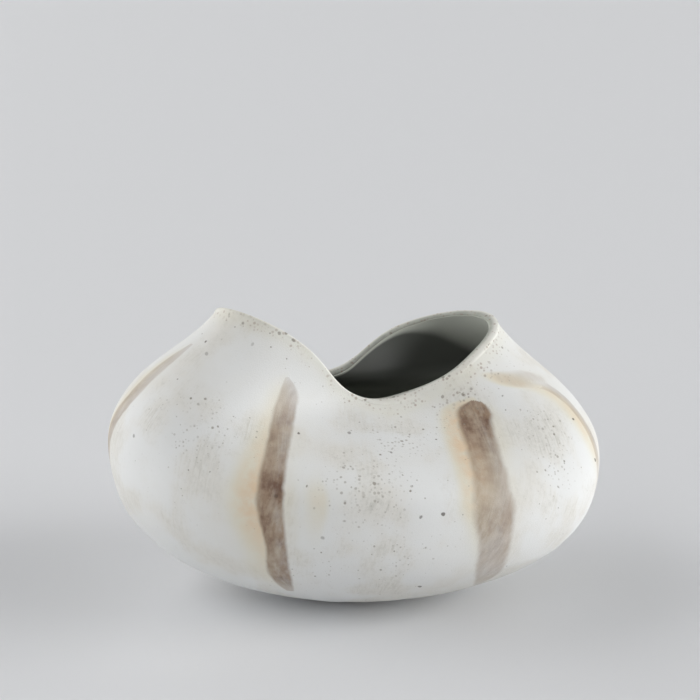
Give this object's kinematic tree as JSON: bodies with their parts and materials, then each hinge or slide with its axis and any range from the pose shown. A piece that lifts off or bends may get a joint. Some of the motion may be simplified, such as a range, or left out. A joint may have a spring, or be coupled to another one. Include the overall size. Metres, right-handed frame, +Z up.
{
  "type": "pillow vase",
  "caption": "Wide, low, pillow-shaped stoneware vase with a saddle-shaped mouth between two raised ears, matte off-white with brown brushed bands.",
  "frame": {"origin": "centre of the felt pad's underside, where the vase stands", "axes": "+X along the body to the right as seen from the front, +Y away from the front, +Z up"},
  "size_m": [0.3314, 0.2236, 0.2014],
  "materials": {
    "stoneware": "bare fired clay, matte",
    "slipped_stoneware": "matte off-white slip with iron speckle and brushed brown oxide bands",
    "liner_glaze": "grey satin glaze",
    "felt": "pressed wool felt"
  },
  "bodies": {
    "root": {"base_slab": "stoneware", "lower_bowl": "slipped_stoneware", "upper_bowl": "slipped_stoneware", "lip_coil": "slipped_stoneware", "liner_glaze": "liner_glaze", "felt_pad": "felt"}
  },
  "joints": []
}
